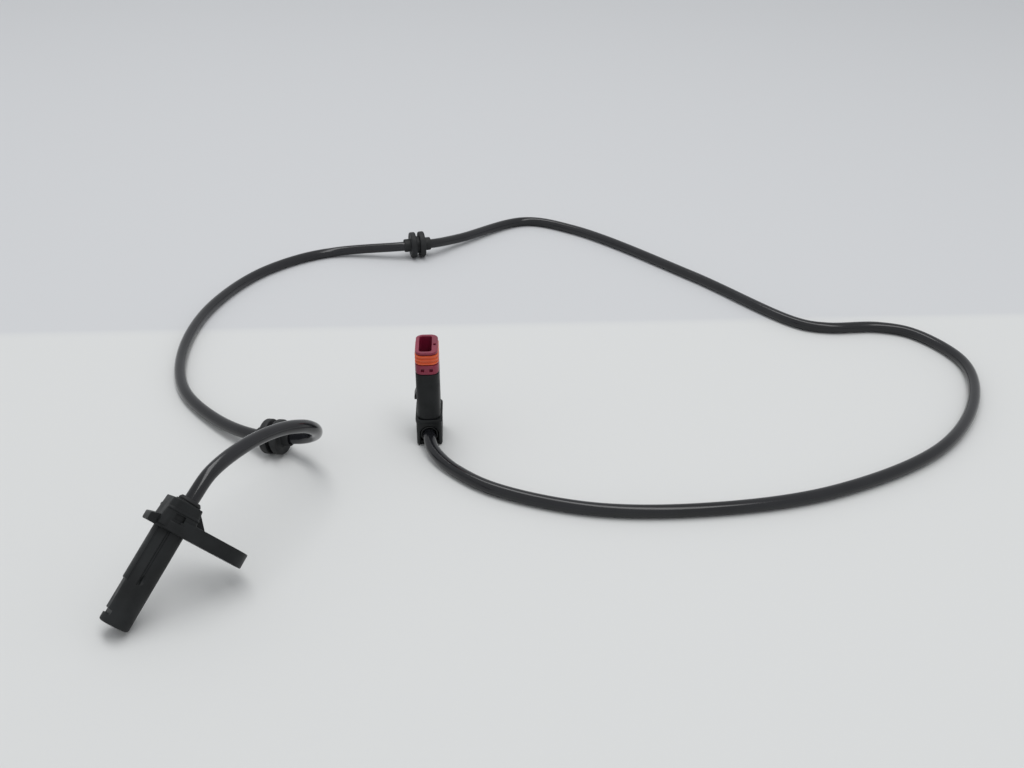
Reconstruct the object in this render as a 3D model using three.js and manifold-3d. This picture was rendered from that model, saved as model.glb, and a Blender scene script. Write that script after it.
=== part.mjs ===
// Wheel speed sensor: a slim sensor head with a bolted ear, its free lead with two rubber
// grommets, and the two-way connector at the lead's end. Millimetres, +Z up, standing on Z = 0.
import * as THREE from 'three';
import { mergeVertices } from 'three/addons/utils/BufferGeometryUtils.js';
import Module from 'manifold-3d';

const wasm = await Module();
wasm.setup();

// Fits and fineness
const clearance = 0.3;
const roundSides = 36;
const smallSides = 16;
const cornerSteps = 3;
const overshoot = 1;

// Sensor head: stations are heights along its own axis, from the tip
const barrelRadius = 5;
const barrelLength = 33.3;
const tipChamfer = 0.5;
const tipWall = 1.2;
const boreRadius = 2.9;
const padProud = 0.4;
const padWidth = 5.2;
const padStart = 14.6;
const flatDepth = 0.3;
const notchStart = 2.7;
const notchWidth = 1.5;
const notchDepth = 1.4;
const grooveWidth = 0.8;
const grooveDepth = 0.4;
const grooveOffset = 0.9;

// Flange, ear and bolt bush
const flangeRadius = 7.2;
const flangeThickness = 3.3;
const stubReach = 9.2;
const stubWidth = 7;
const stubEdge = 2.9;
const stubRound = 0.3;
const earThickness = 5.1;
const earWidth = 13.5;
const earReach = 26.6;
const bushBore = 3.3;
const bushWall = 0.9;

// Head block, its gusset and the gland that the lead leaves by
const blockHeight = 10.3;
const blockHalf = 6.3;
const stubSideTaper = 0.7;
const earSideTaper = 1.3;
const blockCorner = 2.4;
const beltHeight = 1;
const beltProud = 0.4;
const beltStation = 6.3;
const gussetReach = 9.9;
const gussetWidth = 3;
const pocketDepth = 0.9;
const pocketWidth = 3.4;
const pocketHeight = 2;
const pocketOffset = 0.9;
const exitTilt = THREE.MathUtils.degToRad(4.5);
const exitPivot = 5.5;
const exitOffset = 0.5;
const bossRadius = 4.5;
const bossEnd = 5.1;
const glandPlugLength = 4.3;
const glandPlugRadius = 3.2;
const collarRadius = 4;
const collarTipRadius = 3.4;
const collarLength = 0.9;

// What the head holds
const chipSize = [3.6, 3.4, 1.5];
const magnetSize = [2.2, 1.7, 1.8];
const magnetDrop = 0.55;
const carrierFlat = 0.9;
const carrierLength = 27;
const leadWidth = 0.7;
const leadThickness = 0.35;
const leadPitch = 1.9;
const leadCrimpLength = 3.2;
const leadCrimpHeight = 0.9;
const capacitorSize = [1.8, 0.45, 3.2];
const capacitorStation = 12;
const coreRadius = 0.75;
const corePitch = 2.1;
const coreHeight = 0.9;

// How the head lies: heading from +Y towards +X, rise of its axis, roll about its axis
const headHeading = THREE.MathUtils.degToRad(37.2);
const headRise = THREE.MathUtils.degToRad(38);
const headRoll = THREE.MathUtils.degToRad(57.8);

// Lead and its grommets
const cordRadius = 2.5;
const cordSides = 10;
const stepsPerSpan = 2;
const frontGrommet = { x: 19.1, y: 90, heading: 160, rise: 7, reach: 8.5, fall: 0 };
const rearGrommet = { x: 69, y: 286.8, heading: 12, rise: 0, reach: 8, fall: 0.25 };
const grommetPlay = 0.4;
const grommetRadius = 6.95;
const grommetHub = 4.6;
const grommetSleeve = 3.5;
const grommetFlange = 2.9;
const grommetGroove = 1.85;
const grommetSleeveLength = 3.4;
const grommetEdge = 0.6;
const restGap = 0.05;

// Connector, upright on its base: widths along X, depths along Y
const plugWidth = 9.2;
const plugDepth = 16.5;
const plugCorner = 3.2;
const plugWall = 1;
const coverWidth = 10.2;
const coverDepth = 17;
const coverHeight = 12;
const coverCorner = 1.8;
const coverWall = 1.6;
const coverFrontWall = 3.3;
const coverFoot = 0.9;
const coverHeel = 4;
const coverRidge = 1.2;
const coverRidgeProud = 0.25;
const bodyHeight = 19.7;
const entryHeight = 5.4;
const archHalf = 3.9;
const archDepth = 1.6;
const plugGlandRadius = 3.4;
const plugGlandLength = 3.4;
const plugGlandProud = 1.4;
const nibProud = 1;
const nibHeight = 3.8;
const nibWidth = 5;
const nibStation = 5.9;
const insertCollarHeight = 3.8;
const neckHeight = 4.5;
const neckInset = 1.2;
const rimHeight = 1.1;
const rimInset = 0.25;
const tailDepth = 13;
const mouthWidth = 4.8;
const mouthLength = 13.1;
const mouthOffset = -0.45;
const mouthDepth = 14.6;
const mouthCorner = 1.2;
const windowSize = 1.3;
const windowDepth = 1;
const windowPitch = 3.3;
const markSize = [1, 1.4, 0.7];
const markInset = 1;
const sealRibs = 3;
const sealRibHeight = 0.9;
const sealGrooveDepth = 0.4;
const pinRadius = 0.75;
const pinPitch = 6.6;
const pinReach = 4;
const crimpRadius = 1.1;
const crimpLength = 5.2;
const plugPlace = new THREE.Vector3(79.5, 100.5, 0);
const cordTuck = 4.6;
const cordStraight = 9.5;
const cordDip = 0.2;
const coreSteps = 14;

// The lead's route where it is free: up from the head and over itself into the front grommet,
// along the surface to the rear grommet, and round to the connector
const onSurface = cordRadius;
const headArch = [
  [10.1, 22.6, 35.6], [19.3, 36.8, 37], [28, 52, 33.5], [34.5, 62.5, 28.5], [37.5, 70, 22.8],
  [36.8, 77.5, 16], [32.3, 83.2, 11],
];
const leftRun = [
  [-7.6, 110, 3.5], [-27.2, 138.4, onSurface], [-35.2, 177, onSurface], [-30.6, 223, onSurface],
  [-10.4, 265.3, onSurface], [21, 288.2, onSurface],
];
const rightRun = [
  [92, 302, 4.2], [130, 330.6, onSurface], [158, 316.2, onSurface], [213.8, 248.6, onSurface],
  [254.8, 190.5, onSurface], [267, 185.2, onSurface], [291, 184.8, onSurface], [305.5, 177.7, onSurface],
  [318, 149.6, onSurface], [310.1, 116, onSurface], [281.4, 77.7, onSurface], [231, 50.1, onSurface],
  [184, 41, onSurface], [140, 42.8, onSurface], [104.5, 57, onSurface], [88.8, 71.4, onSurface],
  [81.3, 83, 3.8],
];

const materials = {
  plastic: { color: 0x1d2121, roughness: 0.55, metalness: 0 },
  innerPlastic: { color: 0x2b2f30, roughness: 0.6, metalness: 0 },
  rubber: { color: 0x1a1d1e, roughness: 0.75, metalness: 0 },
  jacket: { color: 0x15181a, roughness: 0.35, metalness: 0 },
  red: { color: 0x8e1f3c, roughness: 0.5, metalness: 0 },
  orange: { color: 0xd8481f, roughness: 0.55, metalness: 0 },
  steel: { color: 0xa9adb0, roughness: 0.35, metalness: 1 },
  brass: { color: 0xb9975a, roughness: 0.35, metalness: 1 },
  magnet: { color: 0x55585c, roughness: 0.4, metalness: 1 },
  ceramic: { color: 0x8d6f52, roughness: 0.6, metalness: 0 },
  coreBrown: { color: 0x5a3822, roughness: 0.5, metalness: 0 },
  coreBlack: { color: 0x222222, roughness: 0.5, metalness: 0 },
};

// Solids and basic shapes

function solid(geometry) {
  const bare = geometry.index ? geometry.toNonIndexed() : geometry.clone();
  bare.deleteAttribute('normal');
  bare.deleteAttribute('uv');
  const merged = mergeVertices(bare, 1e-4);
  return new wasm.Manifold(new wasm.Mesh({
    numProp: 3,
    vertProperties: new Float32Array(merged.attributes.position.array),
    triVerts: new Uint32Array(merged.index.array),
  }));
}

function geometryOf(manifold) {
  const mesh = manifold.getMesh();
  const geometry = new THREE.BufferGeometry();
  geometry.setAttribute('position', new THREE.BufferAttribute(new Float32Array(mesh.vertProperties), 3));
  geometry.setIndex(new THREE.BufferAttribute(new Uint32Array(mesh.triVerts), 1));
  geometry.computeVertexNormals();
  return geometry;
}

function piece(name, shape, look) {
  const geometry = shape.isBufferGeometry ? shape : geometryOf(shape);
  const mesh = new THREE.Mesh(geometry, new THREE.MeshStandardMaterial(materials[look]));
  mesh.name = name;
  return mesh;
}

function joined(shapes) {
  return shapes.reduce((whole, shape) => whole.add(shape));
}

function block(x0, x1, y0, y1, z0, z1) {
  const geometry = new THREE.BoxGeometry(x1 - x0, y1 - y0, z1 - z0);
  geometry.translate((x0 + x1) / 2, (y0 + y1) / 2, (z0 + z1) / 2);
  return solid(geometry);
}

// A round rod along Z, with an optional other radius at its upper end
function rod(radius, z0, z1, { x = 0, y = 0, topRadius = radius, sides = roundSides } = {}) {
  const geometry = new THREE.CylinderGeometry(topRadius, radius, z1 - z0, sides);
  geometry.rotateX(Math.PI / 2);
  geometry.translate(x, y, (z0 + z1) / 2);
  return solid(geometry);
}

// A body turned about Z from [radius, height] points that run upwards on the outside
function turned(profile, sides = roundSides) {
  const geometry = new THREE.LatheGeometry(profile.map(([r, h]) => new THREE.Vector2(r, h)), sides);
  geometry.rotateX(Math.PI / 2);
  return geometry;
}

// An arc in an outline is drawn with twice as many steps as its curveSegments
function plate(shape, z0, z1, curveSegments = cornerSteps) {
  const geometry = new THREE.ExtrudeGeometry(shape, { depth: z1 - z0, bevelEnabled: false, curveSegments });
  geometry.translate(0, 0, z0);
  return solid(geometry);
}

// An outline in X and Z carried along Y
function sideways(points, y0, y1) {
  const shape = new THREE.Shape(points.map(([x, z]) => new THREE.Vector2(x, z)));
  const geometry = new THREE.ExtrudeGeometry(shape, { depth: y1 - y0, bevelEnabled: false });
  geometry.rotateX(Math.PI / 2);
  geometry.translate(0, y1, 0);
  return solid(geometry);
}

function roundedRectangle(width, depth, corner, x = 0, y = 0) {
  const [a, b] = [width / 2, depth / 2];
  const shape = new THREE.Shape();
  shape.moveTo(x - a + corner, y - b);
  shape.lineTo(x + a - corner, y - b);
  shape.absarc(x + a - corner, y - b + corner, corner, -Math.PI / 2, 0);
  shape.lineTo(x + a, y + b - corner);
  shape.absarc(x + a - corner, y + b - corner, corner, 0, Math.PI / 2);
  shape.lineTo(x - a + corner, y + b);
  shape.absarc(x - a + corner, y + b - corner, corner, Math.PI / 2, Math.PI);
  shape.lineTo(x - a, y - b + corner);
  shape.absarc(x - a + corner, y - b + corner, corner, Math.PI, 1.5 * Math.PI);
  return shape;
}

function bentRod(points, radius, sides, steps) {
  const shape = new THREE.Shape();
  shape.absarc(0, 0, radius, 0, 2 * Math.PI);
  const extrudePath = new THREE.CatmullRomCurve3(points);
  return new THREE.ExtrudeGeometry(shape, {
    steps, extrudePath, curveSegments: sides / 2, bevelEnabled: false,
  });
}

// Sensor head

const flangeTop = barrelLength + flangeThickness;
const earTop = barrelLength + earThickness;
const blockTop = barrelLength + blockHeight;
const holePlace = earReach - earWidth / 2;
const pivotStation = barrelLength + exitPivot;
const glandEnd = bossEnd + clearance + collarLength;

// Puts a shape made along Z onto the tilted line that the lead leaves by
function alongExit(manifold) {
  return manifold.rotate([0, THREE.MathUtils.radToDeg(exitTilt), 0])
    .translate([exitOffset, 0, pivotStation]);
}

function barrel() {
  const body = solid(turned([
    [0, 0], [barrelRadius - tipChamfer, 0], [barrelRadius, tipChamfer],
    [barrelRadius, barrelLength + overshoot], [0, barrelLength + overshoot],
  ]));
  const pad = rod(barrelRadius + padProud, padStart, barrelLength + overshoot)
    .intersect(block(-2 * barrelRadius, -barrelRadius / 2, -padWidth / 2, padWidth / 2, 0, flangeTop));
  const flat = block(-2 * barrelRadius, flatDepth - barrelRadius, -barrelRadius, barrelRadius,
    notchStart, padStart);
  const notch = block(-2 * barrelRadius, notchDepth - barrelRadius, -barrelRadius, barrelRadius,
    notchStart, notchStart + notchWidth);
  const groove = block(-grooveOffset - grooveWidth, -grooveOffset, -barrelRadius - overshoot,
    grooveDepth - barrelRadius, padStart, barrelLength + overshoot);
  return body.add(pad).subtract(flat).subtract(notch).subtract(groove);
}

function flange() {
  const disc = rod(flangeRadius, barrelLength, flangeTop);
  const stub = sideways([
    [0, barrelLength], [-stubReach + stubRound, barrelLength], [-stubReach, barrelLength + stubRound],
    [-stubReach, barrelLength + stubEdge - stubRound], [-stubReach + stubRound, barrelLength + stubEdge],
    [-blockHalf, flangeTop], [0, flangeTop],
  ], -stubWidth / 2, stubWidth / 2);
  const outline = new THREE.Shape();
  outline.moveTo(0, -earWidth / 2);
  outline.lineTo(holePlace, -earWidth / 2);
  outline.absarc(holePlace, 0, earWidth / 2, -Math.PI / 2, Math.PI / 2);
  outline.lineTo(0, earWidth / 2);
  const ear = plate(outline, barrelLength, earTop, roundSides / 4);
  const seatRadius = bushBore + bushWall + clearance;
  const seat = rod(seatRadius, barrelLength - overshoot, earTop + overshoot, { x: holePlace });
  return disc.add(stub).add(ear).subtract(seat);
}

function headBlock() {
  const bottom = barrelLength + overshoot;
  const wide = 2 * (blockHalf + beltProud);
  const sides = sideways([
    [-blockHalf, bottom], [blockHalf, bottom], [blockHalf - earSideTaper, blockTop],
    [-blockHalf + stubSideTaper, blockTop],
  ], -wide, wide);
  const outer = plate(roundedRectangle(2 * blockHalf, 2 * blockHalf, blockCorner), bottom, blockTop)
    .intersect(sides);
  const beltStart = barrelLength + beltStation;
  const belt = plate(roundedRectangle(wide, wide, blockCorner), beltStart, beltStart + beltHeight)
    .intersect(sides);
  const gusset = sideways([
    [0, bottom], [gussetReach, bottom], [gussetReach, earTop], [blockHalf - earSideTaper, blockTop],
    [0, blockTop],
  ], -gussetWidth / 2, gussetWidth / 2);
  const pocketTop = beltStart - beltHeight / 4;
  const pockets = [-1, 1].map((face) => block(
    -pocketOffset - pocketWidth / 2, -pocketOffset + pocketWidth / 2,
    Math.min(face * wide, face * (blockHalf - pocketDepth)),
    Math.max(face * wide, face * (blockHalf - pocketDepth)),
    pocketTop - pocketHeight, pocketTop,
  ));
  const boss = alongExit(rod(bossRadius, 0, bossEnd));
  return pockets.reduce((whole, pocket) => whole.subtract(pocket), outer.add(belt).add(gusset).add(boss));
}

function headHousing() {
  const bore = rod(boreRadius, tipWall, pivotStation);
  const cordWay = alongExit(rod(cordRadius + clearance, -exitPivot / 2, bossEnd));
  const plugSeat = bossEnd - glandPlugLength;
  const glandWay = alongExit(rod(glandPlugRadius + clearance, plugSeat, bossEnd + overshoot));
  return joined([barrel(), flange(), headBlock()]).subtract(bore).subtract(cordWay).subtract(glandWay);
}

function flangeBush() {
  return turned([
    [bushBore, barrelLength], [bushBore + bushWall, barrelLength], [bushBore + bushWall, earTop],
    [bushBore, earTop], [bushBore, barrelLength],
  ]).translate(holePlace, 0, 0);
}

function headGland() {
  const plugStart = bossEnd - glandPlugLength + clearance;
  const collarStart = bossEnd + clearance;
  const innerRadius = cordRadius + clearance;
  return alongExit(solid(turned([
    [innerRadius, plugStart], [glandPlugRadius, plugStart], [glandPlugRadius, collarStart],
    [collarRadius, collarStart], [collarTipRadius, glandEnd], [innerRadius, glandEnd],
    [innerRadius, plugStart],
  ])));
}

const chipStart = tipWall + clearance;
const magnetStart = chipStart + chipSize[2] + clearance;
const carrierStart = magnetStart - clearance / 2;
const leadLow = carrierFlat + clearance;
const leadEnd = carrierStart + carrierLength;

function chip() {
  const [w, d, h] = chipSize;
  return block(-w / 2, w / 2, -d / 2, d / 2, chipStart, chipStart + h);
}

function magnet(grow = 0) {
  const [w, d, h] = magnetSize;
  return block(-w / 2 - grow, w / 2 + grow, -magnetDrop - d / 2 - grow, -magnetDrop + d / 2 + grow,
    magnetStart - (grow ? overshoot : 0), magnetStart + h + grow);
}

function carrier() {
  const above = block(-boreRadius, boreRadius, carrierFlat, boreRadius,
    carrierStart - overshoot, leadEnd + overshoot);
  return rod(boreRadius - clearance, carrierStart, leadEnd).subtract(above).subtract(magnet(clearance));
}

function lead(hand) {
  const x = hand * leadPitch / 2;
  const strip = block(x - leadWidth / 2, x + leadWidth / 2, leadLow, leadLow + leadThickness,
    magnetStart, leadEnd);
  const crimp = block(x - leadWidth / 2, x + leadWidth / 2, leadLow, leadLow + leadCrimpHeight,
    leadEnd - leadCrimpLength, leadEnd);
  return strip.add(crimp);
}

function capacitor() {
  const [w, d, h] = capacitorSize;
  const low = leadLow + leadThickness + clearance;
  return block(-w / 2, w / 2, low, low + d, capacitorStation, capacitorStation + h);
}

function headCore(hand) {
  const end = pivotStation - (cordRadius + clearance) * Math.sin(exitTilt) - clearance;
  const place = { x: hand * corePitch / 2, y: coreHeight, sides: smallSides };
  return rod(coreRadius, leadEnd + clearance, end, place);
}

const headPieces = [
  piece('head_housing', headHousing(), 'plastic'),
  piece('flange_bush', flangeBush(), 'steel'),
  piece('head_gland', headGland(), 'rubber'),
  piece('sensor_carrier', carrier(), 'innerPlastic'),
  piece('sensing_chip', chip(), 'coreBlack'),
  piece('bias_magnet', magnet(), 'magnet'),
  piece('noise_capacitor', capacitor(), 'ceramic'),
  piece('head_lead_left', lead(-1), 'brass'),
  piece('head_lead_right', lead(1), 'brass'),
  piece('head_core_left', headCore(-1), 'coreBrown'),
  piece('head_core_right', headCore(1), 'coreBlack'),
];

// The head leans on the lower edge of its tip, and stands centred over the origin
const rolled = new THREE.Group().add(...headPieces);
rolled.rotation.z = headRoll;
const raised = new THREE.Group().add(rolled);
raised.rotation.x = headRise - Math.PI / 2;
const head = new THREE.Group().add(raised);
head.rotation.z = -headHeading;
head.updateMatrixWorld(true);
const headBox = new THREE.Box3().setFromObject(head, true);
const headCentre = headBox.getCenter(new THREE.Vector3());
head.position.set(-headCentre.x, -headCentre.y, -headBox.min.z);
head.updateMatrixWorld(true);

// A point on the line that the lead leaves the head by, in the part's frame
function exitPoint(distance) {
  const local = new THREE.Vector3(Math.sin(exitTilt), 0, Math.cos(exitTilt)).multiplyScalar(distance);
  return rolled.localToWorld(local.add(new THREE.Vector3(exitOffset, 0, pivotStation)));
}

// Lead

// Its span between two chosen points always has the same number of steps
class LeadCurve extends THREE.CatmullRomCurve3 {
  getUtoTmapping(u) {
    return u;
  }

  getPoint(t, target) {
    const point = super.getPoint(t, target);
    point.z = Math.max(point.z, onSurface);
    return point;
  }
}

// A grommet rests on the edge of a flange, and its rise lifts the end that is nearer to the head
function grommetFrame({ x, y, heading, rise }) {
  const turn = THREE.MathUtils.degToRad(heading);
  const tilt = THREE.MathUtils.degToRad(rise);
  const edge = grommetGroove / 2 + grommetFlange - grommetEdge;
  const height = grommetRadius * Math.cos(tilt) + edge * Math.sin(tilt) + restGap;
  return {
    centre: new THREE.Vector3(x, y, height),
    along: new THREE.Vector3(
      Math.cos(turn) * Math.cos(tilt), Math.sin(turn) * Math.cos(tilt), -Math.sin(tilt),
    ),
  };
}

function throughGrommet(grommet) {
  const { centre, along } = grommetFrame(grommet);
  return [-1, 0, 1].map((side) => {
    const point = centre.clone().addScaledVector(along, side * grommet.reach);
    point.z -= Math.abs(side) * grommet.fall;
    return point;
  });
}

const route = [
  exitPoint(-clearance / 2),
  exitPoint(glandEnd),
  ...headArch.map((point) => new THREE.Vector3(...point)),
  ...throughGrommet(frontGrommet),
  ...leftRun.map((point) => new THREE.Vector3(...point)),
  ...throughGrommet(rearGrommet),
  ...rightRun.map((point) => new THREE.Vector3(...point)),
  plugPlace.clone().add(new THREE.Vector3(0, -cordStraight, entryHeight - cordDip)),
  plugPlace.clone().add(new THREE.Vector3(0, -cordTuck, entryHeight)),
];

function cordGeometry() {
  const shape = new THREE.Shape();
  shape.absarc(0, 0, cordRadius, 0, 2 * Math.PI);
  return new THREE.ExtrudeGeometry(shape, {
    steps: stepsPerSpan * (route.length - 1),
    extrudePath: new LeadCurve(route),
    curveSegments: cordSides / 2,
    bevelEnabled: false,
  });
}

function grommetGeometry() {
  const bore = cordRadius + grommetPlay;
  const groove = grommetGroove / 2;
  const flangeEnd = groove + grommetFlange;
  const end = flangeEnd + grommetSleeveLength;
  const half = [
    [grommetHub, 0], [grommetHub, groove], [grommetRadius - grommetEdge, groove],
    [grommetRadius, groove + grommetEdge], [grommetRadius, flangeEnd - grommetEdge],
    [grommetRadius - grommetEdge, flangeEnd], [grommetSleeve, flangeEnd], [grommetSleeve, end], [bore, end],
  ];
  const lower = half.slice(1).reverse().map(([r, h]) => [r, -h]);
  return turned([...lower, ...half, lower[0]]);
}

function grommet(name, place) {
  const mesh = piece(name, grommetGeometry(), 'rubber');
  const { centre, along } = grommetFrame(place);
  mesh.position.copy(centre);
  mesh.quaternion.setFromUnitVectors(new THREE.Vector3(0, 0, 1), along);
  return mesh;
}

const leadPieces = [
  piece('cord', cordGeometry(), 'jacket'),
  grommet('grommet_front', frontGrommet),
  grommet('grommet_rear', rearGrommet),
];

// Connector

const coverTop = coverHeight;
const bodyStart = coverTop + clearance;
const bodyTop = bodyStart + bodyHeight;
const insertCollarStart = bodyTop + clearance;
const neckStart = insertCollarStart + insertCollarHeight;
const rimStart = neckStart + neckHeight;
const rimTop = rimStart + rimHeight;
const tailStart = bodyTop - tailDepth;
const mouthFloor = rimTop - mouthDepth;
const cavityWidth = plugWidth - 2 * plugWall;
const cavityDepth = plugDepth - 2 * plugWall;

function upright(width, depth, corner, z0, z1, x = 0, y = 0) {
  return plate(roundedRectangle(width, depth, corner, x, y), z0, z1);
}

// A round rod along Y, from the front towards the back
function lengthways(radius, y0, y1, z, sides = roundSides) {
  const geometry = new THREE.CylinderGeometry(radius, radius, y1 - y0, sides);
  geometry.translate(0, (y0 + y1) / 2, z);
  return solid(geometry);
}

function connectorCover() {
  const [w, d] = [coverWidth / 2, coverDepth / 2];
  const outer = upright(coverWidth, coverDepth, coverCorner, 0, coverTop);
  const feet = sideways([
    [-w, coverFoot], [coverFoot - w, 0], [w - coverFoot, 0], [w, coverFoot], [w, coverTop], [-w, coverTop],
  ], -d, d);
  const heelShape = new THREE.Shape();
  heelShape.moveTo(-d, 0);
  heelShape.lineTo(d - coverHeel, 0);
  heelShape.absarc(d - coverHeel, coverHeel, coverHeel, -Math.PI / 2, 0);
  heelShape.lineTo(d, coverTop);
  heelShape.lineTo(-d, coverTop);
  const heel = plate(heelShape, -w, w, smallSides / 4).rotate([90, 0, 0]).rotate([0, 0, 90]);
  const ridge = upright(coverWidth + 2 * coverRidgeProud, coverDepth + 2 * coverRidgeProud,
    coverCorner + coverRidgeProud, coverTop - coverRidge, coverTop);
  const inside = cavityWidth;
  const front = coverFrontWall - d;
  const back = d - coverWall;
  const cavity = upright(inside, back - front, plugCorner / 2, coverWall, coverTop + overshoot,
    0, (front + back) / 2);
  const glandWay = lengthways(plugGlandRadius + clearance, -d - overshoot, front + overshoot, entryHeight);
  const arch = lengthways(archHalf, -d - overshoot, archDepth - d, entryHeight)
    .add(block(-archHalf, archHalf, -d - overshoot, archDepth - d, -overshoot, entryHeight));
  return outer.intersect(feet).intersect(heel).add(ridge)
    .subtract(cavity).subtract(glandWay).subtract(arch);
}

function plugGland() {
  const ring = turned([
    [cordRadius + clearance, 0], [plugGlandRadius, 0], [plugGlandRadius, plugGlandLength],
    [cordRadius + clearance, plugGlandLength], [cordRadius + clearance, 0],
  ]);
  ring.rotateX(-Math.PI / 2);
  return ring.translate(0, archDepth - coverDepth / 2 - plugGlandProud, entryHeight);
}

function connectorBody() {
  const outer = upright(plugWidth, plugDepth, plugCorner, bodyStart, bodyTop);
  const cavity = upright(cavityWidth, cavityDepth, plugCorner - plugWall,
    bodyStart - overshoot, bodyTop + overshoot);
  const side = -plugWidth / 2;
  const nibStart = bodyStart + nibStation;
  const nib = sideways([
    [side + plugWall / 2, nibStart], [side - nibProud, nibStart],
    [side - nibProud, nibStart + nibHeight / 3], [side, nibStart + nibHeight],
    [side + plugWall / 2, nibStart + nibHeight],
  ], -nibWidth / 2, nibWidth / 2);
  return outer.add(nib).subtract(cavity);
}

function connectorInsert() {
  const neckWidth = plugWidth - 2 * neckInset;
  const neckDepth = plugDepth - 2 * neckInset;
  const tailWidth = cavityWidth - 2 * clearance;
  const tailLength = cavityDepth - 2 * clearance;
  const outer = joined([
    upright(plugWidth, plugDepth, plugCorner, insertCollarStart, neckStart),
    upright(neckWidth, neckDepth, plugCorner - neckInset, neckStart - clearance, rimStart + clearance),
    upright(plugWidth - 2 * rimInset, plugDepth - 2 * rimInset, plugCorner - rimInset, rimStart, rimTop),
    upright(tailWidth, tailLength, plugCorner - plugWall - clearance,
      tailStart, insertCollarStart + clearance),
  ]);
  const mouth = upright(mouthWidth, mouthLength, mouthCorner, mouthFloor, rimTop + overshoot, mouthOffset);
  const ways = [-1, 1].map((end) => rod(
    pinRadius + clearance, tailStart - overshoot, mouthFloor + overshoot,
    { x: mouthOffset, y: end * pinPitch / 2, sides: smallSides },
  ));
  const windowLow = insertCollarStart + (insertCollarHeight - windowSize) / 2;
  const windows = [-1, 1].map((hand) => block(
    hand * windowPitch / 2 - windowSize / 2, hand * windowPitch / 2 + windowSize / 2,
    -plugDepth / 2 - overshoot, windowDepth - plugDepth / 2, windowLow, windowLow + windowSize,
  ));
  const [w, d, h] = markSize;
  const side = plugWidth / 2 - markInset;
  const mark = block(side - w, side, -d, 0, rimTop - h, rimTop + overshoot);
  return [mouth, mark, ...ways, ...windows].reduce((whole, cut) => whole.subtract(cut), outer);
}

function connectorSeal() {
  const low = neckStart + clearance;
  const high = rimStart - clearance;
  const inner = neckInset - clearance;
  const valley = sealGrooveDepth;
  const core = upright(plugWidth - 2 * valley, plugDepth - 2 * valley, plugCorner - valley, low, high);
  const pitch = (high - low - sealRibHeight) / (sealRibs - 1);
  const ribs = Array.from({ length: sealRibs }, (_, rib) => upright(plugWidth, plugDepth, plugCorner,
    low + rib * pitch, low + rib * pitch + sealRibHeight));
  const hole = upright(plugWidth - 2 * inner, plugDepth - 2 * inner, plugCorner - inner,
    low - overshoot, high + overshoot);
  return joined([core, ...ribs]).subtract(hole);
}

const crimpTop = tailStart - clearance;

function contact(end) {
  const place = { x: mouthOffset, y: end * pinPitch / 2, sides: smallSides };
  const pinTop = mouthFloor + pinReach;
  return rod(pinRadius, crimpTop - clearance, pinTop - pinRadius, place)
    .add(rod(pinRadius, pinTop - pinRadius, pinTop, { ...place, topRadius: pinRadius / 2 }))
    .add(rod(crimpRadius, crimpTop - crimpLength, crimpTop, place));
}

// A conductor from the lead's end inside the cover, bent up to its contact
function plugCore(end) {
  const low = entryHeight;
  const high = crimpTop - crimpLength - clearance;
  const start = clearance - cordTuck;
  const y = end * pinPitch / 2;
  const turn = Math.max(y, start + 2 * coreRadius);
  return bentRod([
    new THREE.Vector3(end * corePitch / 2, start, low),
    new THREE.Vector3(end * corePitch / 2, (start + turn) / 2, low),
    new THREE.Vector3(end * corePitch / 2, turn, (3 * low + high) / 4),
    new THREE.Vector3(mouthOffset, y, (low + 3 * high) / 4),
    new THREE.Vector3(mouthOffset, y, high),
  ], coreRadius, smallSides / 2, coreSteps);
}

const connector = new THREE.Group().add(
  piece('connector_cover', connectorCover(), 'plastic'),
  piece('connector_gland', plugGland(), 'rubber'),
  piece('connector_body', connectorBody(), 'plastic'),
  piece('connector_insert', connectorInsert(), 'red'),
  piece('connector_seal', connectorSeal(), 'orange'),
  piece('contact_front', contact(-1), 'brass'),
  piece('contact_back', contact(1), 'brass'),
  piece('plug_core_front', plugCore(-1), 'coreBrown'),
  piece('plug_core_back', plugCore(1), 'coreBlack'),
);
connector.position.copy(plugPlace);

const sensor = new THREE.Group().add(head, ...leadPieces, connector);
sensor.name = 'wheel_speed_sensor';

export default sensor;
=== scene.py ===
"""Looks of the wheel speed sensor: camera, lead, mouldings, materials, floor and light. Metres, +Z up."""
import math

import bmesh
import bpy
from mathutils import Matrix, Vector


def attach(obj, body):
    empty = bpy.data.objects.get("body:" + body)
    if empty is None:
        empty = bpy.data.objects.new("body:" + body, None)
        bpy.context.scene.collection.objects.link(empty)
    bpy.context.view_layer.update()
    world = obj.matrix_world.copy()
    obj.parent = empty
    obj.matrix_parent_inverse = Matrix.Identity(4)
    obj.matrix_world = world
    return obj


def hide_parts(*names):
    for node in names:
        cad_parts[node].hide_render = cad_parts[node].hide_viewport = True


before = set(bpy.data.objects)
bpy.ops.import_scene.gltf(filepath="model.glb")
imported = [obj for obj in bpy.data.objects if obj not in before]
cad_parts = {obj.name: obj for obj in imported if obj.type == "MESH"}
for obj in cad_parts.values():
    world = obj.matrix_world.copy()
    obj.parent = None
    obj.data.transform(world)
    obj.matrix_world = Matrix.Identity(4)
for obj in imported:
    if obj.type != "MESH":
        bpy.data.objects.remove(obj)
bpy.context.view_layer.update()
MM = 0.001
scene = bpy.context.scene


# Camera: at the photograph's viewing angle, in degrees below the horizon and to the right of +Y

CAMERA_PLACE = Vector((95.64, -291.40, 243.0))
CAMERA_DOWN = 29.3
CAMERA_RIGHT = 2.5
SENSOR_WIDTH = 36.0
FOCAL_LENGTH = 39.73

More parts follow.
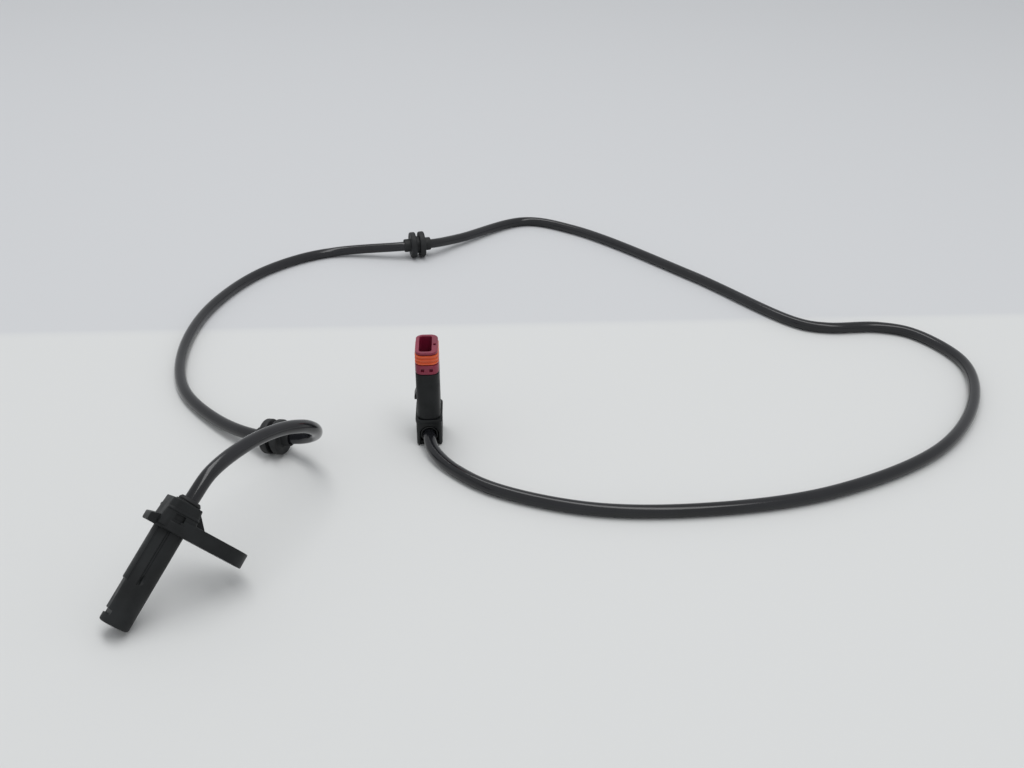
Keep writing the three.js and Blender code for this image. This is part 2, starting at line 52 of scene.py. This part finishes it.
camera_data = bpy.data.cameras.new("camera")
camera_data.sensor_width = SENSOR_WIDTH
camera_data.lens = FOCAL_LENGTH
camera_data.clip_start = 0.01
camera = bpy.data.objects.new("camera", camera_data)
camera.location = CAMERA_PLACE * MM
camera.rotation_euler = (math.radians(90 - CAMERA_DOWN), 0, math.radians(-CAMERA_RIGHT))
scene.collection.objects.link(camera)
scene.camera = camera


# Route of the lead, as in the CAD, in millimetres

CORD_RADIUS = 2.5
CORD_TUCK = 0.15
CURVE_STEPS = 14
BEVEL_STEPS = 8
REST_GAP = 0.05
HEAD_PIVOT = Vector((1.48141, 9.88751, 27.18356))
HEAD_EXIT = Vector((0.532977, 0.633019, 0.561446))
GLAND_END = 6.3
# A grommet's radius, and how far from its middle it touches the surface when tilted
GROMMET_RADIUS = 6.95
GROMMET_EDGE = 3.225
# Each grommet's x, y, heading and rise, and how far the lead runs straight to either side of it
FRONT_GROMMET = (19.1, 90.0, 160.0, 7.0)
REAR_GROMMET = (69.0, 286.8, 12.0, 0.0)
FRONT_REACH = 8.5
REAR_REACH = 8
REAR_FALL = 0.25
PLUG_PLACE = Vector((79.5, 100.5, 0.0))
PLUG_ENTRY = 5.4


def grommet_place(x, y, heading, rise):
    """Sets a grommet's axis along the lead, and its flanges on the surface."""
    tilt = math.radians(rise)
    height = GROMMET_RADIUS * math.cos(tilt) + GROMMET_EDGE * math.sin(tilt) + REST_GAP
    return (Matrix.Translation((x, y, height)) @ Matrix.Rotation(math.radians(heading), 4, "Z")
            @ Matrix.Rotation(math.radians(90) + tilt, 4, "Y"))


def through_grommet(grommet, reach, fall):
    """The lead's points through a grommet, the outer two lower by fall."""
    place = grommet_place(*grommet)
    return [place @ Vector((0, 0, side * reach)) - Vector((0, 0, abs(side) * fall)) for side in (-1, 0, 1)]


def laid(points):
    """The lead's points where it lies on the surface."""
    return [Vector((x, y, CORD_RADIUS)) for x, y in points]


ROUTE = [
    HEAD_PIVOT - CORD_TUCK * HEAD_EXIT, HEAD_PIVOT + GLAND_END * HEAD_EXIT,
    *map(Vector, [
        (10.1, 22.6, 35.6), (19.3, 36.8, 37), (28, 52, 33.5), (34.5, 62.5, 28.5), (37.5, 70, 22.8),
        (36.8, 77.5, 16), (32.3, 83.2, 11),
    ]),
    *through_grommet(FRONT_GROMMET, FRONT_REACH, 0),
    Vector((-7.6, 110, 3.5)),
    *laid([(-27.2, 138.4), (-35.2, 177), (-30.6, 223), (-10.4, 265.3), (21, 288.2)]),
    *through_grommet(REAR_GROMMET, REAR_REACH, REAR_FALL),
    Vector((92, 302, 4.2)),
    *laid([
        (130, 330.6), (158, 316.2), (213.8, 248.6), (254.8, 190.5), (267, 185.2), (291, 184.8),
        (305.5, 177.7), (318, 149.6), (310.1, 116), (281.4, 77.7), (231, 50.1), (184, 41), (140, 42.8),
        (104.5, 57), (88.8, 71.4),
    ]),
    Vector((81.3, 83, 3.8)),
    PLUG_PLACE + Vector((0, -9.5, 5.2)), PLUG_PLACE + Vector((0, -4.6, PLUG_ENTRY)),
]


def tangents(points):
    """The centripetal Catmull-Rom tangents of each span's two ends, over the span's own parameter."""
    ends = [2 * points[0] - points[1], *points, 2 * points[-1] - points[-2]]
    spans = []
    for a, b, c, d in zip(ends, ends[1:], ends[2:], ends[3:]):
        before, here, after = (math.sqrt((q - p).length) for p, q in ((a, b), (b, c), (c, d)))
        first = here * ((b - a) / before - (c - a) / (before + here) + (c - b) / here)
        last = here * ((c - b) / here - (d - b) / (here + after) + (d - c) / after)
        spans.append((first, last))
    return spans


def lead_curve(name, points):
    """A round curve through the points, kept from sinking into the surface between them."""
    data = bpy.data.curves.new(name, "CURVE")
    data.dimensions = "3D"
    # The knots carry the lead's own radius, so the bevel is of depth 1
    data.bevel_depth = 1.0
    data.bevel_resolution = BEVEL_STEPS
    data.use_fill_caps = True
    spline = data.splines.new("BEZIER")
    spline.bezier_points.add(len(points) - 1)
    spline.resolution_u = CURVE_STEPS
    spans = tangents(points)
    first, last = [spans[0], *spans], [*spans, spans[-1]]

    def lifted(handle):
        return Vector((handle.x, handle.y, max(handle.z, CORD_RADIUS))) * MM

    for knot, point, before, after in zip(spline.bezier_points, points, first, last):
        knot.handle_left_type = knot.handle_right_type = "FREE"
        knot.co = point * MM
        knot.radius = CORD_RADIUS * MM
        knot.handle_left = lifted(point - before[1] / 3)
        knot.handle_right = lifted(point + after[0] / 3)
    piece = bpy.data.objects.new(name, data)
    scene.collection.objects.link(piece)
    return piece


lead = lead_curve("lead", ROUTE)
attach(lead, "root")
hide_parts("cord")


# Materials

COLOUR_PATCHES = 90.0
GLOSS_RATIO = 2.3


def shader(name):
    material = bpy.data.materials.new(name)
    material.use_nodes = True
    return material, material.node_tree, material.node_tree.nodes["Principled BSDF"]


def noise(tree, scale, detail=4.0):
    node = tree.nodes.new("ShaderNodeTexNoise")
    node.inputs["Scale"].default_value = scale
    node.inputs["Detail"].default_value = detail
    node.inputs["Roughness"].default_value = 0.55
    place = tree.nodes.new("ShaderNodeTexCoord")
    tree.links.new(place.outputs["Object"], node.inputs["Vector"])
    return node.outputs["Fac"]


def ramp(tree, value, low, high, start=0.35, end=0.65):
    node = tree.nodes.new("ShaderNodeValToRGB")
    node.color_ramp.elements[0].position = start
    node.color_ramp.elements[1].position = end
    node.color_ramp.elements[0].color = low
    node.color_ramp.elements[1].color = high
    tree.links.new(value, node.inputs["Fac"])
    return node.outputs["Color"]


def grey(value):
    return (value, value, value, 1)


def surface(name, dark, light, rough, grain_scale, grain_depth, *, patch_scale=COLOUR_PATCHES,
            metallic=0.0, specular=0.5):
    """A surface whose colour and gloss drift between two states, with a fine grain in relief."""
    material, tree, bsdf = shader(name)
    patches = noise(tree, patch_scale)
    tree.links.new(ramp(tree, patches, (*dark, 1), (*light, 1)), bsdf.inputs["Base Color"])
    gloss = noise(tree, patch_scale * GLOSS_RATIO, 6.0)
    tree.links.new(ramp(tree, gloss, grey(rough[0]), grey(rough[1])), bsdf.inputs["Roughness"])
    grain = tree.nodes.new("ShaderNodeBump")
    grain.inputs["Strength"].default_value = 1.0
    grain.inputs["Distance"].default_value = grain_depth * MM
    tree.links.new(noise(tree, grain_scale, 3.0), grain.inputs["Height"])
    tree.links.new(grain.outputs["Normal"], bsdf.inputs["Normal"])
    bsdf.inputs["Metallic"].default_value = metallic
    bsdf.inputs["Specular IOR Level"].default_value = specular
    return material


PLASTIC = surface("moulded_plastic", (0.006, 0.0068, 0.0072), (0.013, 0.0145, 0.0152), (0.4, 0.58), 3200,
                  0.02, specular=0.24)
RUBBER = surface("moulded_rubber", (0.007, 0.0075, 0.008), (0.016, 0.017, 0.018), (0.48, 0.7), 2400, 0.025,
                 specular=0.34)
JACKET = surface("cable_jacket", (0.007, 0.0072, 0.0088), (0.013, 0.0134, 0.0158), (0.12, 0.2), 1500,
                 0.008, patch_scale=40, specular=0.45)
CRIMSON = surface("crimson_plastic", (0.17, 0.008, 0.03), (0.25, 0.016, 0.048), (0.3, 0.45), 3000, 0.01)
ORANGE = surface("orange_silicone", (0.56, 0.07, 0.018), (0.7, 0.115, 0.026), (0.32, 0.5), 2600, 0.012)
STEEL = surface("turned_steel", (0.36, 0.37, 0.38), (0.5, 0.51, 0.52), (0.28, 0.42), 2800, 0.008,
                metallic=1.0)
BRASS = surface("stamped_brass", (0.5, 0.33, 0.12), (0.62, 0.43, 0.18), (0.25, 0.4), 2600, 0.006,
                metallic=1.0)
MAGNET = surface("sintered_magnet", (0.09, 0.09, 0.095), (0.15, 0.15, 0.155), (0.4, 0.6), 3600, 0.02,
                 metallic=0.6)
CERAMIC = surface("fired_ceramic", (0.22, 0.13, 0.07), (0.32, 0.2, 0.11), (0.4, 0.55), 3000, 0.008)
CORE_BROWN = surface("brown_insulation", (0.08, 0.032, 0.013), (0.12, 0.05, 0.022), (0.35, 0.5), 2200,
                     0.008)
CORE_BLACK = surface("black_insulation", (0.014, 0.014, 0.014), (0.026, 0.026, 0.026), (0.35, 0.5), 2200,
                     0.008)


# Modelling, in millimetres

SHARP_EDGE = math.radians(38)
STRAIGHT = math.radians(175)
EASE_STEPS = 4
EASE_KNEE = 0.3
EDGE_SHARE = 0.45
CORNER_STEPS = 8
LEAST_CORNER = 0.25
TURNED_SIDES = 96


def skin(rings, looped=False):
    """A closed skin over a row of rings of points, looped back to the first or capped at both ends."""
    mesh = bmesh.new()
    grid = [[mesh.verts.new(Vector(point)) for point in ring] for ring in rings]
    following = grid[1:] + grid[:1] if looped else grid[1:]
    for low, high in zip(grid, following):
        for i in range(len(low)):
            j = (i + 1) % len(low)
            mesh.faces.new((low[i], low[j], high[j], high[i]))
    if not looped:
        mesh.faces.new(grid[0][::-1])
        mesh.faces.new(grid[-1])
    bmesh.ops.recalc_face_normals(mesh, faces=mesh.faces)
    return mesh


def eased(profile, radius, looped=False):
    """The profile with its corners rounded, and its ends kept where it isn't looped."""
    points = [Vector(point) for point in profile]
    out = []
    for i, corner in enumerate(points):
        if not looped and i in (0, len(points) - 1):
            out.append(corner)
            continue
        a, b = points[i - 1] - corner, points[(i + 1) % len(points)] - corner
        turn = a.angle(b)
        if turn > STRAIGHT:
            out.append(corner)
            continue
        cut = min(radius / math.tan(turn / 2), EDGE_SHARE * a.length, EDGE_SHARE * b.length)
        start, end = corner + a.normalized() * cut, corner + b.normalized() * cut
        for step in range(EASE_STEPS + 1):
            t = step / EASE_STEPS
            out.append((1 - t) ** 2 * start + 2 * t * (1 - t) * corner + t * t * end)
    return out


def circle(radius, sides):
    return [(radius * math.cos(2 * math.pi * i / sides), radius * math.sin(2 * math.pi * i / sides))
            for i in range(sides)]


def rectangle(width, depth, corner, inset, x):
    """A rounded rectangle about x on the X axis, drawn in by inset."""
    r = max(corner - inset, LEAST_CORNER)
    a, b = width / 2 - inset - r, depth / 2 - inset - r
    out = []
    for quarter, (side, end) in enumerate([(1, -1), (1, 1), (-1, 1), (-1, -1)]):
        for step in range(CORNER_STEPS + 1):
            angle = math.radians(90 * (quarter - 1 + step / CORNER_STEPS))
            out.append((x + side * a + r * math.cos(angle), end * b + r * math.sin(angle)))
    return out


def turned(profile, ease, looped=False, sides=TURNED_SIDES):
    """A body turned about Z from (radius, height) points."""
    rings = [[(x, y, h) for x, y in circle(r, sides)] for r, h in eased(profile, ease, looped)]
    return skin(rings, looped)


def rod(radius, low, high, ease, hub=0.4, sides=TURNED_SIDES):
    """A rod about Z, its end faces ringed by a small hub."""
    return turned([(hub, low), (radius, low), (radius, high), (hub, high)], ease, sides=sides)


def tube(inner, outer, low, high, ease):
    return turned([(inner, low), (outer, low), (outer, high), (inner, high)], ease, looped=True)


def swept(profile, width, depth, corner, ease, looped=False, x=0.0):
    """A rounded rectangle's body from (inset, height) points."""
    rings = [[(px, py, h) for px, py in rectangle(width, depth, corner, inset, x)]
             for inset, h in eased(profile, ease, looped)]
    return skin(rings, looped)


def box(x0, x1, y0, y1, z0, z1):
    ring = [(x0, y0), (x1, y0), (x1, y1), (x0, y1)]
    return skin([[(x, y, z) for x, y in ring] for z in (z0, z1)])


def prism(outline, half, ease):
    """A convex outline in X and Z, carried along Y to half on either side with eased ends."""
    middle = sum((Vector(point) for point in outline), Vector((0, 0))) / len(outline)
    knee = ease * EASE_KNEE

    def ring(y, inset):
        out = []
        for point in outline:
            arm = Vector(point) - middle
            out.append(middle + arm * (1 - inset / arm.length))
        return [(point.x, y, point.y) for point in out]

    return skin([ring(-half, ease), ring(-half + knee, knee), ring(-half + ease, 0),
                 ring(half - ease, 0), ring(half - knee, knee), ring(half, ease)])


def object_of(name, mesh, matrix=Matrix.Identity(4)):
    mesh.transform(matrix)
    data = bpy.data.meshes.new(name)
    mesh.to_mesh(data)
    mesh.free()
    made = bpy.data.objects.new(name, data)
    scene.collection.objects.link(made)
    return made


def combined(base, others, operation):
    """The base object with the other meshes joined to it or cut from it."""
    cutters = [object_of("tool", other) for other in others]
    for cutter in cutters:
        modifier = base.modifiers.new("combine", "BOOLEAN")
        modifier.operation = operation
        modifier.solver = "EXACT"
        modifier.object = cutter
    solid = bpy.data.meshes.new_from_object(base.evaluated_get(bpy.context.evaluated_depsgraph_get()))
    base.modifiers.clear()
    base.data = solid
    for cutter in cutters:
        bpy.data.objects.remove(cutter)
    return base


def finished(piece, node, material, place):
    """Scales the piece to metres, sets it in its place and hands it to the frame."""
    piece.data.transform(Matrix.Diagonal((MM, MM, MM, 1)) @ place)
    piece.data.polygons.foreach_set("use_smooth", [True] * len(piece.data.polygons))
    piece.data.set_sharp_from_angle(angle=SHARP_EDGE)
    piece.data.materials.clear()
    piece.data.materials.append(material)
    even = piece.modifiers.new("even", "WEIGHTED_NORMAL")
    even.keep_sharp = True
    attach(piece, "root")
    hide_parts(node)
    return piece


# Sensor head, along its own axis: stations are heights from the tip

HEAD_TIP = (-17.37383, -14.51263, 3.62932)
HEAD_TURN = -37.2
HEAD_RISE = 38
HEAD_ROLL = 57.8
HEAD_PLACE = (
    Matrix.Translation(HEAD_TIP)
    @ Matrix.Rotation(math.radians(HEAD_TURN), 4, "Z")
    @ Matrix.Rotation(math.radians(HEAD_RISE - 90), 4, "X")
    @ Matrix.Rotation(math.radians(HEAD_ROLL), 4, "Z")
)

BARREL = 5.0
BARREL_SIDES = 192
BARREL_STEP = 0.5
# Stations where the barrel's rings are closer: from, to and step
BARREL_DETAIL = [(2.4, 4.6, 0.07), (14.2, 18.4, 0.12)]
TIP_ROUND = 0.75
TIP_ANGLES = (0, 18, 36, 54, 72, 90)
TIP_END = 1.0
FLAT_DEPTH = 0.3
NOTCH_DEPTH = 1.4
NOTCH_START = 2.7
NOTCH_END = 4.2
STEP = 14.6
PAD_HEIGHT = 0.4
PAD_HALF = 2.6
GROOVE_DEPTH = 0.4
GROOVE_SIDES = (-1.7, -0.9)
DIMPLE_PLACE = (-0.7, 16.3)
DIMPLE_HALVES = (0.9, 1.7)
DIMPLE_DEPTH = 0.55
PAST_END = 99

SEAT = 33.3
ROOT = SEAT + 1
FLANGE_RADIUS = 7.2
FLANGE_TOP = 36.6
STUB_TOP = FLANGE_TOP + 0.3
STUB_HALF = 3.5
EAR_TOP = 38.4
EAR_REACH = 26.6
EAR_HALF = 6.75
EAR_EASE = 0.35
EAR_END_STEPS = 48
HOLE_PLACE = 19.85
HOLE = 4.5
BUSH_RADII = (3.3, 4.2)

BLOCK_TOP = 43.6
BLOCK_HALF = 6.3
BLOCK_CORNER = 2.4
RIB_PROUD = 0.4
STUB_SIDE_TAPER = 0.7
EAR_SIDE_TAPER = 1.3
GUSSET_FOOT = 9.9
GUSSET_HALF = 1.5
GUSSET_TOP = BLOCK_TOP - 0.1

EXIT_TILT = math.radians(4.5)
EXIT_PIVOT = 38.8
EXIT_OFFSET = 0.5
EXIT_LINE = Matrix.Translation((EXIT_OFFSET, 0, EXIT_PIVOT)) @ Matrix.Rotation(EXIT_TILT, 4, "Y")
BORE_RADIUS = 2.9
CORD_WAY = 2.8
BOSS_RADIUS = 4.5
BOSS_END = 5.1
GLAND_WAY = 3.5
GLAND_RADIUS = 3.2
GLAND_START = 1.1
COLLAR_RADIUS = 4
COLLAR_TIP = 3.4
COLLAR_START = 5.2
COLLAR_EDGE = 5.75
COLLAR_END = 6.55


def band(value, low, high, soft=0.14):
    """1 between low and high and 0 outside, with soft ends."""
    def rise(t):
        t = min(max(t, 0.0), 1.0)
        return t * t * (3 - 2 * t)
    return rise((value - low) / soft + 0.5) * rise((high - value) / soft + 0.5)


def barrel_radius(angle, station):
    """The barrel's radius, with the flat, notch and pad on one side and the groove and dimple on the next."""
    radius = BARREL
    towards = -math.cos(angle)
    if towards > 0.3:
        flat = min(radius, (BARREL - FLAT_DEPTH) / towards)
        notch = min(radius, (BARREL - NOTCH_DEPTH) / towards)
        radius += (flat - radius) * band(station, NOTCH_START, STEP)
        radius += (min(notch, radius) - radius) * band(station, NOTCH_START, NOTCH_END)
        across = BARREL * math.sin(angle)
        radius += PAD_HEIGHT * band(station, STEP, PAST_END) * band(across, -PAD_HALF, PAD_HALF)
    if math.sin(angle) < 0:
        x = BARREL * math.cos(angle)
        radius -= GROOVE_DEPTH * band(station, STEP, PAST_END) * band(x, *GROOVE_SIDES)
        dimple = sum(((at - middle) / half) ** 2
                     for at, middle, half in zip((x, station), DIMPLE_PLACE, DIMPLE_HALVES))
        radius -= DIMPLE_DEPTH * max(0.0, 1 - dimple)
    return radius


def barrel():
    stations = [TIP_ROUND * (1 - math.cos(math.radians(a))) for a in TIP_ANGLES]
    here = TIP_END
    while here < ROOT:
        stations.append(here)
        here += next((step for low, high, step in BARREL_DETAIL if low <= here < high), BARREL_STEP)
    stations.append(ROOT)
    rings = []
    for station in stations:
        short = max(0.0, TIP_ROUND - station)
        lost = TIP_ROUND - math.sqrt(TIP_ROUND**2 - short**2)
        ring = []
        for i in range(BARREL_SIDES):
            angle = 2 * math.pi * i / BARREL_SIDES
            radius = barrel_radius(angle, station) - lost
            ring.append((radius * math.cos(angle), radius * math.sin(angle), station))
        rings.append(ring)
    return skin(rings)


def ear_plate():
    knee = EASE_KNEE * EAR_EASE
    levels = [(EAR_EASE, SEAT), (knee, SEAT + knee), (0, SEAT + EAR_EASE), (0, EAR_TOP - EAR_EASE),
              (knee, EAR_TOP - knee), (EAR_EASE, EAR_TOP)]
    rings = []
    for inset, height in levels:
        radius = EAR_HALF - inset
        turns = [math.radians(-90 + 180 * i / EAR_END_STEPS) for i in range(EAR_END_STEPS + 1)]
        end = [(EAR_REACH - EAR_HALF + radius * math.cos(a), radius * math.sin(a)) for a in turns]
        rings.append([(x, y, height) for x, y in [(0, -radius), *end, (0, radius)]])
    return skin(rings)


def exit_block():
    """The block that the lead leaves by, ribbed round and narrowed towards its top."""
    block = swept([(0, ROOT), (0, SEAT + 6.3), (-RIB_PROUD, SEAT + 6.55), (-RIB_PROUD, SEAT + 7.05),
                   (0, SEAT + 7.3), (0, BLOCK_TOP), (3, BLOCK_TOP)],
                  2 * BLOCK_HALF, 2 * BLOCK_HALF, BLOCK_CORNER, 0.45)
    for vertex in block.verts:
        share = min(max((vertex.co.z - ROOT) / (BLOCK_TOP - ROOT), 0), 1)
        limit = BLOCK_HALF - share * (EAR_SIDE_TAPER if vertex.co.x > 0 else STUB_SIDE_TAPER)
        narrowed = vertex.co.x * limit / BLOCK_HALF
        vertex.co.x = min(max(narrowed, -limit), limit)
    return block


def head_moulding():
    flange = rod(FLANGE_RADIUS, SEAT, FLANGE_TOP, 0.4)
    stub = prism([(0, SEAT), (-8.9, SEAT), (-9.2, SEAT + 0.3), (-9.2, SEAT + 2.6), (-8.9, SEAT + 2.9),
                  (-6.3, STUB_TOP), (0, STUB_TOP)], STUB_HALF, 0.3)
    gusset = prism([(0, ROOT), (GUSSET_FOOT, ROOT), (GUSSET_FOOT, EAR_TOP),
                    (BLOCK_HALF - EAR_SIDE_TAPER, GUSSET_TOP), (0, GUSSET_TOP)], GUSSET_HALF, 0.25)
    boss = rod(BOSS_RADIUS, 0, BOSS_END, 0.35)
    boss.transform(EXIT_LINE)
    piece = object_of("head_moulding", barrel())
    combined(piece, [flange, ear_plate(), stub, exit_block(), gusset, boss], "UNION")

    hole = turned([(HOLE + 0.5, SEAT - 0.6), (HOLE + 0.45, SEAT - 0.05), (HOLE, SEAT + 0.35),
                   (HOLE, EAR_TOP - 0.35), (HOLE + 0.45, EAR_TOP + 0.05), (HOLE + 0.5, EAR_TOP + 0.6)], 0.1)
    hole.transform(Matrix.Translation((HOLE_PLACE, 0, 0)))
    bore = rod(BORE_RADIUS, 1.2, EXIT_PIVOT, 0.2)
    cord_way = turned([(0.4, -2.75), (CORD_WAY, -2.75), (CORD_WAY, 0.7), (GLAND_WAY, 0.8), (GLAND_WAY, 8),
                       (0.4, 8)], 0.1)
    cord_way.transform(EXIT_LINE)
    pockets = [box(-2.6, 0.8, *sorted((face * 9, face * 5.4)), SEAT + 4.05, SEAT + 6.05)
               for face in (-1, 1)]
    combined(piece, [hole, bore, cord_way, *pockets], "DIFFERENCE")
    return finished(piece, "head_housing", PLASTIC, HEAD_PLACE)


def head_collar():
    ring = turned([(CORD_WAY, GLAND_START), (GLAND_RADIUS, GLAND_START), (GLAND_RADIUS, COLLAR_START),
                   (COLLAR_RADIUS, COLLAR_START), (COLLAR_RADIUS, COLLAR_EDGE), (COLLAR_TIP, COLLAR_END),
                   (CORD_WAY, COLLAR_END)], 0.2, looped=True)
    piece = object_of("head_collar", ring, EXIT_LINE)
    return finished(piece, "head_gland", RUBBER, HEAD_PLACE)


def bolt_bush():
    ring = tube(*BUSH_RADII, SEAT, EAR_TOP, 0.22)
    piece = object_of("bolt_bush", ring, Matrix.Translation((HOLE_PLACE, 0, 0)))
    return finished(piece, "flange_bush", STEEL, HEAD_PLACE)


# Grommets, turned about the lead: (radius, height) from the middle groove to the sleeve's end

GROMMET_HALF = [
    (4.6, 0), (4.6, 0.93), (6.7, 0.93), (GROMMET_RADIUS, 1.5), (GROMMET_RADIUS, 3.3), (6.65, 3.83),
    (4.3, 3.83), (3.5, 4.1), (3.5, 6.6), (3.3, 7.2), (2.9, 7.2),
]


def grommet(name, node, place):
    profile = [(r, -h) for r, h in GROMMET_HALF[:0:-1]] + GROMMET_HALF
    piece = object_of(name, turned(profile, 0.3, looped=True))
    return finished(piece, node, RUBBER, place)


# Connector, about the middle of its base

PLUG = Matrix.Translation(PLUG_PLACE)
ALONG_LEAD = Matrix.Translation((0, 0, PLUG_ENTRY)) @ Matrix.Rotation(math.radians(-90), 4, "X")
# Sections: width, depth and corner
PLUG_SECTION = (9.2, 16.5, 3.2)
COVER_SECTION = (10.2, 17, 1.8)
MOUTH_SECTION = (4.8, 13.1, 1.2)
COVER_TOP = 12.0
COVER_BACK = 8.5
HEEL = 4.0
HEEL_RINGS = [(0, 1.2), (0, 2), (0, 3), (0, 4)]
ARCH = 3.9
ARCH_SPAN = (-10, -6.9)
BODY_LOW = COVER_TOP + 0.3
BODY_TOP = 32.0
NIB_HALF = 2.5
MOUTH_X = -0.45
PIN_Y = 3.3
PIN_WAY = 1.05
WINDOW_X = 1.65
WINDOW_HALF = 0.65
RIM_TOP = 41.7
SEAL_RIBS = (36.4, 37.9, 39.4)


def lead_rod(radius, low, high):
    """A rod on the lead's line into the connector."""
    mesh = rod(radius, low, high, 0.1, hub=0.3)
    mesh.transform(ALONG_LEAD)
    return mesh


def plug_cover():
    cover = swept([(3, 0), (0.9, 0), (0.25, 0.25), (0, 0.9), *HEEL_RINGS, (0, 10.55), (-0.25, 10.8),
                   (-0.25, COVER_TOP), (1.5, COVER_TOP), (1.5, 1.6), (3.6, 1.6)], *COVER_SECTION, 0.3)
    for vertex in cover.verts:
        if vertex.co.z < HEEL:
            limit = COVER_BACK - HEEL + math.sqrt(HEEL**2 - (HEEL - max(vertex.co.z, 0)) ** 2)
            vertex.co.y = min(vertex.co.y, limit)
    piece = object_of("plug_cover", cover)
    foot = box(-ARCH, ARCH, *ARCH_SPAN, -1, PLUG_ENTRY)
    combined(piece, [lead_rod(ARCH, *ARCH_SPAN), foot, lead_rod(3.7, -9, -4.4)], "DIFFERENCE")
    return finished(piece, "connector_cover", PLASTIC, PLUG)


def plug_ring():
    piece = object_of("plug_ring", tube(2.8, 3.4, -8.3, -4.9, 0.2), ALONG_LEAD)
    return finished(piece, "connector_gland", RUBBER, PLUG)


def plug_body():
    shell = swept([(0, BODY_LOW), (0, BODY_TOP), (1, BODY_TOP), (1, BODY_LOW)], *PLUG_SECTION, 0.3,
                  looped=True)
    nib = prism([(-4, 18.2), (-5.6, 18.2), (-5.6, 19.5), (-4.7, 22), (-4, 22)], NIB_HALF, 0.25)
    piece = combined(object_of("plug_body", shell), [nib], "UNION")
    return finished(piece, "connector_body", PLASTIC, PLUG)


def plug_insert():
    core = swept([(3.2, 19), (1.3, 19), (1.3, 32.3), (0, 32.3), (0, 36.1), (1.2, 36.1), (1.2, 40.6),
                  (0.25, 40.6), (0.25, RIM_TOP), (4, RIM_TOP)], *PLUG_SECTION, 0.28)
    mouth = swept([(1, 27.1), (0, 27.1), (0, 41.4), (-0.25, 42), (1, 42)], *MOUTH_SECTION, 0.15, x=MOUTH_X)
    ways, windows = [], []
    for side in (-1, 1):
        way = rod(PIN_WAY, 18, 28, 0.05, hub=0.3, sides=24)
        way.transform(Matrix.Translation((MOUTH_X, side * PIN_Y, 0)))
        ways.append(way)
        middle = side * WINDOW_X
        windows.append(box(middle - WINDOW_HALF, middle + WINDOW_HALF, -9, -7.25, 33.55, 34.85))
    mark = box(2.6, 3.6, -1.4, 0, 41, 42)
    piece = combined(object_of("plug_insert", core), [mouth, *ways, *windows, mark], "DIFFERENCE")
    return finished(piece, "connector_insert", CRIMSON, PLUG)


def plug_seal():
    ribs = [point for low in SEAL_RIBS for point in (
        (0.5, low), (0.1, low + 0.12), (0, low + 0.45), (0.1, low + 0.78), (0.5, low + 0.9))]
    ring = swept([*ribs, (0.9, 40.3), (0.9, 36.4)], *PLUG_SECTION, 0.1, looped=True)
    return finished(object_of("plug_seal", ring), "connector_seal", ORANGE, PLUG)


head_moulding()
head_collar()
bolt_bush()
grommet_pieces = [grommet("front_grommet", "grommet_front", grommet_place(*FRONT_GROMMET)),
                  grommet("rear_grommet", "grommet_rear", grommet_place(*REAR_GROMMET))]
plug_pieces = [plug_cover(), plug_ring(), plug_body(), plug_insert(), plug_seal()]


# Carried-over solids

DRESS = {
    "sensor_carrier": PLASTIC, "sensing_chip": CORE_BLACK, "bias_magnet": MAGNET,
    "noise_capacitor": CERAMIC, "head_lead_left": BRASS, "head_lead_right": BRASS,
    "head_core_left": CORE_BROWN, "head_core_right": CORE_BLACK,
    "contact_front": BRASS, "contact_back": BRASS,
    "plug_core_front": CORE_BROWN, "plug_core_back": CORE_BLACK,
}
for node, material in DRESS.items():
    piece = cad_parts[node]
    piece.data.materials.clear()
    piece.data.materials.append(material)
lead.data.materials.append(JACKET)


# Floor and light

FLOOR_SIZE = 12.0
FLOOR_DROP = 0.00005
NEAR_TONE = (0.66, 0.665, 0.66, 1)
FAR_TONE = (0.6, 0.607, 0.62, 1)
TONE_BORDER = (0.198, 0.202)


def floor_material():
    """Two pale tones, parted where the photograph's wall begins."""
    material, tree, bsdf = shader("table_top")
    place = tree.nodes.new("ShaderNodeTexCoord")
    split = tree.nodes.new("ShaderNodeSeparateXYZ")
    tree.links.new(place.outputs["Object"], split.inputs["Vector"])
    edge = ramp(tree, split.outputs["Y"], NEAR_TONE, FAR_TONE, *TONE_BORDER)
    tree.links.new(edge, bsdf.inputs["Base Color"])
    bsdf.inputs["Roughness"].default_value = 0.7
    bsdf.inputs["Specular IOR Level"].default_value = 0.25
    return material


def plane(name, size, z):
    mesh = bpy.data.meshes.new(name)
    half = size / 2
    mesh.from_pydata([(-half, -half, z), (half, -half, z), (half, half, z), (-half, half, z)], [],
                     [(0, 1, 2, 3)])
    piece = bpy.data.objects.new(name, mesh)
    scene.collection.objects.link(piece)
    return piece


floor = plane("floor", FLOOR_SIZE, -FLOOR_DROP)
floor.data.materials.append(floor_material())


def area_light(name, place, target, size, energy):
    data = bpy.data.lights.new(name, "AREA")
    data.shape = "RECTANGLE"
    data.size, data.size_y = size
    data.energy = energy
    lamp = bpy.data.objects.new(name, data)
    lamp.location = place
    lamp.rotation_euler = (Vector(target) - Vector(place)).to_track_quat("-Z", "Y").to_euler()
    scene.collection.objects.link(lamp)


area_light("overhead", (0.15, 0.12, 1.5), (0.12, 0.1, 0), (2.1, 0.5), 12)
world = bpy.data.worlds.new("studio")
world.use_nodes = True
world.node_tree.nodes["Background"].inputs["Color"].default_value = (0.96, 0.98, 1.0, 1)
world.node_tree.nodes["Background"].inputs["Strength"].default_value = 0.66
scene.world = world
scene.view_settings.view_transform = "Standard"

bpy.context.view_layer.update()
